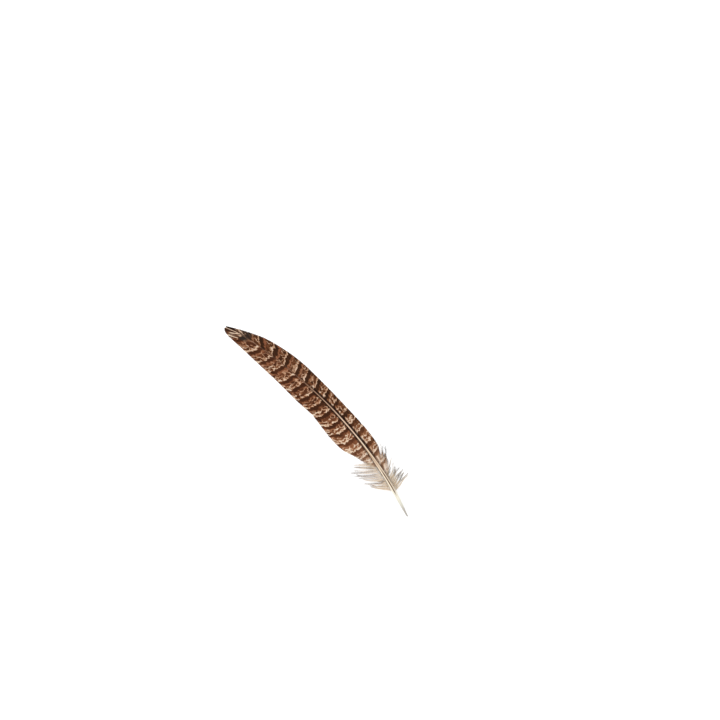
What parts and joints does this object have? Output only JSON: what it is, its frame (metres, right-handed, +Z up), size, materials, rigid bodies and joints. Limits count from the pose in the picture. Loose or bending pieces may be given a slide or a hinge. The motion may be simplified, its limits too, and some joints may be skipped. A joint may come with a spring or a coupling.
{
  "type": "pheasant tail feather",
  "caption": "Long barred tail feather lying flat: tapering curved shaft with a bare quill, a wide and a narrow vane, and loose down at the base.",
  "frame": {"origin": "middle of the feather's extent, on the surface that it lies on", "axes": "+X from the feather's tip to the end of its quill, +Y towards the narrow outer vane, +Z up from the surface"},
  "size_m": [0.1654, 0.0286, 0.004],
  "materials": {
    "shaft": "satin horn, cream to tan",
    "vane": "matt, barred dark brown, chestnut and cream",
    "down": "matt, pale greyish cream"
  },
  "bodies": {
    "root": {"shaft": "shaft", "inner_vane": "vane", "outer_vane": "vane", "inner_down": "down", "outer_down": "down"}
  },
  "joints": []
}
